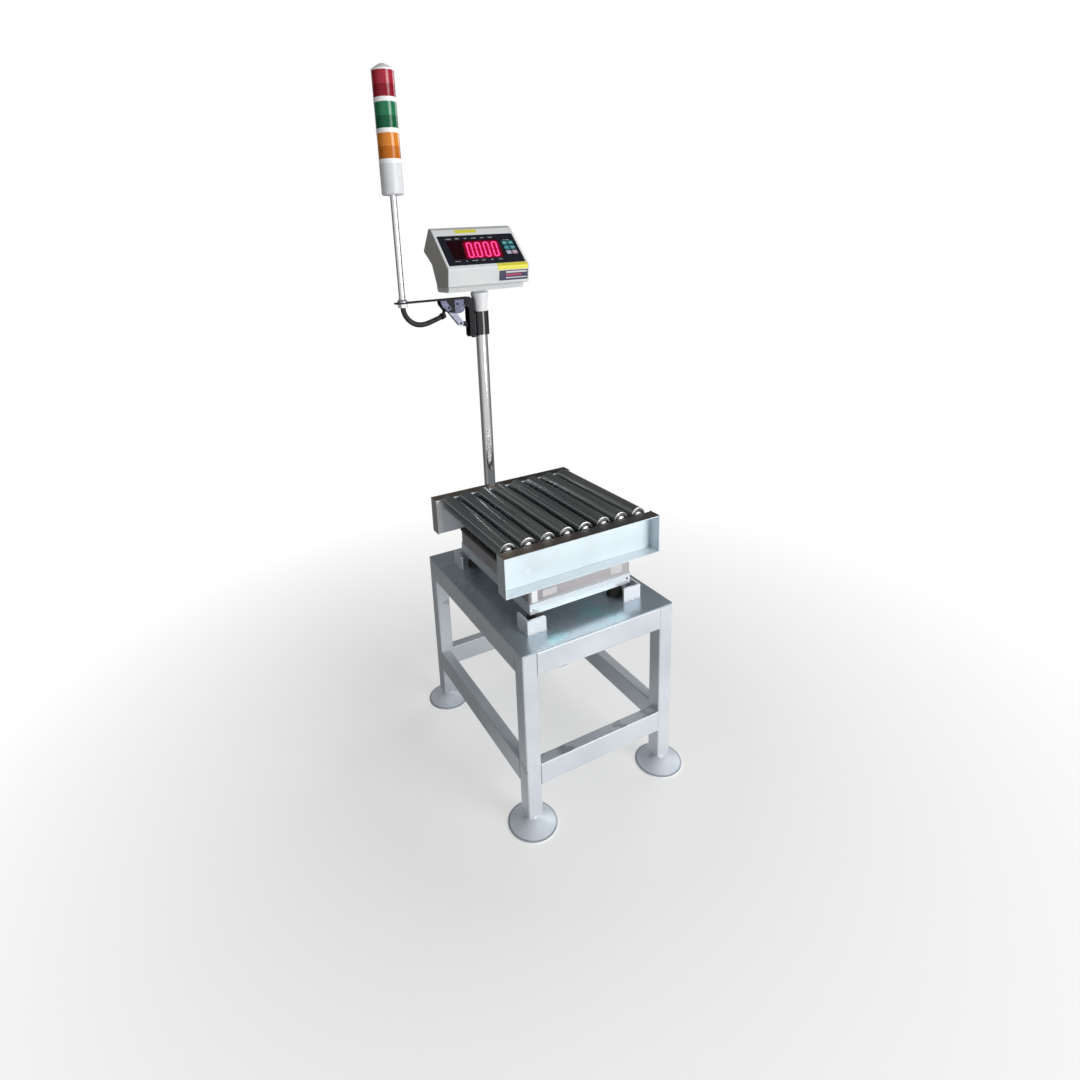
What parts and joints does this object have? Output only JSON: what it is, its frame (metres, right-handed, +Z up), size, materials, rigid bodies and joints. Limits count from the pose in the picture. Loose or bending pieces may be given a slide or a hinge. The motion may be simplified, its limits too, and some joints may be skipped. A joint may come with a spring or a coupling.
{
  "type": "roller top bench scale",
  "caption": "Bench scale with a roller-top weighing deck on a tube-frame stand, a column carrying a tilting indicator, and a three-colour signal tower on a folding bracket.",
  "frame": {"origin": "centre of the stand's footprint on the floor", "axes": "+X along the roller deck, +Y towards the column, +Z up"},
  "size_m": [0.525, 0.7161, 1.844],
  "materials": {
    "painted_frame": "semi-gloss silver-grey paint",
    "plug_plastic": "moulded",
    "zinc_steel": "bright plated",
    "foot_steel": "satin",
    "rubber": "matt",
    "stainless": "satin",
    "cell_aluminium": "machined",
    "frame_steel": "powder coat",
    "platter_steel": "satin",
    "column_chrome": "polished",
    "deck_sheet": "bright satin",
    "crossbar_steel": "black",
    "strip_steel": "mill",
    "roller_chrome": "polished",
    "housing_plastic": "fine texture",
    "face_plastic": "gloss film",
    "window_plastic": "tinted",
    "key_teal": "film key",
    "key_lilac": "film key",
    "key_pink": "film key",
    "sleeve_plastic": "gloss",
    "bracket_black": "black paint",
    "brace_grey": "grey paint",
    "pole_steel": "satin",
    "tower_white": "moulded",
    "lens_amber": "ribbed lens",
    "lens_green": "ribbed lens",
    "lens_red": "ribbed lens",
    "core_plastic": "moulded",
    "cable_plastic": "ribbed sleeve"
  },
  "bodies": {
    "stand": {"top_plate": "painted_frame", "stand_legs": "painted_frame", "apron_rails": "painted_frame", "stretchers": "painted_frame", "leg_end_plugs": "plug_plastic", "foot_lock_nuts": "zinc_steel", "corner_cleats": "painted_frame"},
    "scale": {"scale_feet": "rubber", "scale_base": "stainless", "load_cell": "cell_aluminium", "spider_frame": "frame_steel", "platter_pads": "rubber", "column_bracket": "stainless", "column": "column_chrome", "column_sleeve": "sleeve_plastic", "bracket_leg": "bracket_black", "bracket_pins": "zinc_steel"},
    "platter_lid": {"platter": "platter_steel"},
    "deck": {"channel_back": "deck_sheet", "channel_front": "deck_sheet", "deck_crossbars": "crossbar_steel", "axle_strips": "strip_steel", "roller_axles": "strip_steel"},
    "neck": {"indicator_neck": "housing_plastic"},
    "indicator": {"indicator_front_shell": "housing_plastic", "indicator_rear_shell": "housing_plastic", "indicator_window": "window_plastic", "indicator_faceplate": "face_plastic", "tilt_pin": "zinc_steel"},
    "tower_arm": {"bracket_arm": "bracket_black", "tower_pole": "pole_steel", "pole_nuts": "tower_white", "tower_base": "tower_white", "lens_amber": "lens_amber", "lens_green": "lens_green", "lens_red": "lens_red", "tower_rings": "tower_white", "light_cores": "core_plastic", "tower_cap": "tower_white", "tower_cable": "cable_plastic"},
    "brace": {"bracket_brace": "brace_grey"},
    "levelling_foot_front_left": {"foot_front_left": "foot_steel"},
    "levelling_foot_front_right": {"foot_front_right": "foot_steel"},
    "levelling_foot_back_left": {"foot_back_left": "foot_steel"},
    "levelling_foot_back_right": {"foot_back_right": "foot_steel"},
    "deck_roller_1": {"roller_1": "roller_chrome"},
    "deck_roller_2": {"roller_2": "roller_chrome"},
    "deck_roller_3": {"roller_3": "roller_chrome"},
    "deck_roller_4": {"roller_4": "roller_chrome"},
    "deck_roller_5": {"roller_5": "roller_chrome"},
    "deck_roller_6": {"roller_6": "roller_chrome"},
    "deck_roller_7": {"roller_7": "roller_chrome"},
    "deck_roller_8": {"roller_8": "roller_chrome"},
    "membrane_key_1": {"key_1": "key_teal"},
    "membrane_key_2": {"key_2": "key_teal"},
    "membrane_key_3": {"key_3": "key_teal"},
    "membrane_key_4": {"key_4": "key_teal"},
    "membrane_key_5": {"key_5": "key_lilac"},
    "membrane_key_6": {"key_6": "key_pink"}
  },
  "joints": [
    {"name": "scale_lift_out", "type": "slide", "parent": "stand", "child": "scale", "axis": [0, 0, 1], "range_m": [0, 0.05]},
    {"name": "platter_lift_off", "type": "slide", "parent": "scale", "child": "platter_lid", "axis": [0, 0, 1], "range_m": [0, 0.05]},
    {"name": "deck_lift_off", "type": "slide", "parent": "platter_lid", "child": "deck", "axis": [0, 0, 1], "range_m": [0, 0.06]},
    {"name": "indicator_swivel", "type": "hinge", "parent": "scale", "child": "neck", "pos_m": [0, 0.292, 1.24], "axis": [0, 0, 1], "range_deg": [-90, 90]},
    {"name": "indicator_tilt", "type": "hinge", "parent": "neck", "child": "indicator", "pos_m": [0, 0.292, 1.29], "axis": [1, 0, 0], "range_deg": [-12, 12]},
    {"name": "tower_arm_fold", "type": "hinge", "parent": "scale", "child": "tower_arm", "pos_m": [-0.044, 0.292, 1.243], "axis": [0, -1, 0], "range_deg": [0, 55]},
    {"name": "brace_swing", "type": "hinge", "parent": "scale", "child": "brace", "pos_m": [-0.066, 0.292, 1.186], "axis": [0, -1, 0], "range_deg": [0, 107]},
    {"name": "foot_adjust_front_left", "type": "slide", "parent": "stand", "child": "levelling_foot_front_left", "axis": [0, 0, -1], "range_m": [0, 0.02]},
    {"name": "foot_adjust_front_right", "type": "slide", "parent": "stand", "child": "levelling_foot_front_right", "axis": [0, 0, -1], "range_m": [0, 0.02]},
    {"name": "foot_adjust_back_left", "type": "slide", "parent": "stand", "child": "levelling_foot_back_left", "axis": [0, 0, -1], "range_m": [0, 0.02]},
    {"name": "foot_adjust_back_right", "type": "slide", "parent": "stand", "child": "levelling_foot_back_right", "axis": [0, 0, -1], "range_m": [0, 0.02]},
    {"name": "roller_spin_1", "type": "hinge", "parent": "deck", "child": "deck_roller_1", "pos_m": [-0.19075, -0.006, 0.704], "axis": [0, 1, 0], "continuous": true},
    {"name": "roller_spin_2", "type": "hinge", "parent": "deck", "child": "deck_roller_2", "pos_m": [-0.13625, -0.006, 0.704], "axis": [0, 1, 0], "continuous": true},
    {"name": "roller_spin_3", "type": "hinge", "parent": "deck", "child": "deck_roller_3", "pos_m": [-0.08175, -0.006, 0.704], "axis": [0, 1, 0], "continuous": true},
    {"name": "roller_spin_4", "type": "hinge", "parent": "deck", "child": "deck_roller_4", "pos_m": [-0.02725, -0.006, 0.704], "axis": [0, 1, 0], "continuous": true},
    {"name": "roller_spin_5", "type": "hinge", "parent": "deck", "child": "deck_roller_5", "pos_m": [0.02725, -0.006, 0.704], "axis": [0, 1, 0], "continuous": true},
    {"name": "roller_spin_6", "type": "hinge", "parent": "deck", "child": "deck_roller_6", "pos_m": [0.08175, -0.006, 0.704], "axis": [0, 1, 0], "continuous": true},
    {"name": "roller_spin_7", "type": "hinge", "parent": "deck", "child": "deck_roller_7", "pos_m": [0.13625, -0.006, 0.704], "axis": [0, 1, 0], "continuous": true},
    {"name": "roller_spin_8", "type": "hinge", "parent": "deck", "child": "deck_roller_8", "pos_m": [0.19075, -0.006, 0.704], "axis": [0, 1, 0], "continuous": true},
    {"name": "key_press_1", "type": "slide", "parent": "indicator", "child": "membrane_key_1", "axis": [0, 0.7071, -0.7071], "range_m": [0, 0.0006], "stiffness_N_per_m": 2500, "springref_m": -0.0006},
    {"name": "key_press_2", "type": "slide", "parent": "indicator", "child": "membrane_key_2", "axis": [0, 0.7071, -0.7071], "range_m": [0, 0.0006], "stiffness_N_per_m": 2500, "springref_m": -0.0006},
    {"name": "key_press_3", "type": "slide", "parent": "indicator", "child": "membrane_key_3", "axis": [0, 0.7071, -0.7071], "range_m": [0, 0.0006], "stiffness_N_per_m": 2500, "springref_m": -0.0006},
    {"name": "key_press_4", "type": "slide", "parent": "indicator", "child": "membrane_key_4", "axis": [0, 0.7071, -0.7071], "range_m": [0, 0.0006], "stiffness_N_per_m": 2500, "springref_m": -0.0006},
    {"name": "key_press_5", "type": "slide", "parent": "indicator", "child": "membrane_key_5", "axis": [0, 0.7071, -0.7071], "range_m": [0, 0.0006], "stiffness_N_per_m": 2500, "springref_m": -0.0006},
    {"name": "key_press_6", "type": "slide", "parent": "indicator", "child": "membrane_key_6", "axis": [0, 0.7071, -0.7071], "range_m": [0, 0.0006], "stiffness_N_per_m": 2500, "springref_m": -0.0006}
  ],
  "couplings": [
    {"joint": "brace_swing", "follows": "tower_arm_fold", "ratio": 1.93}
  ]
}
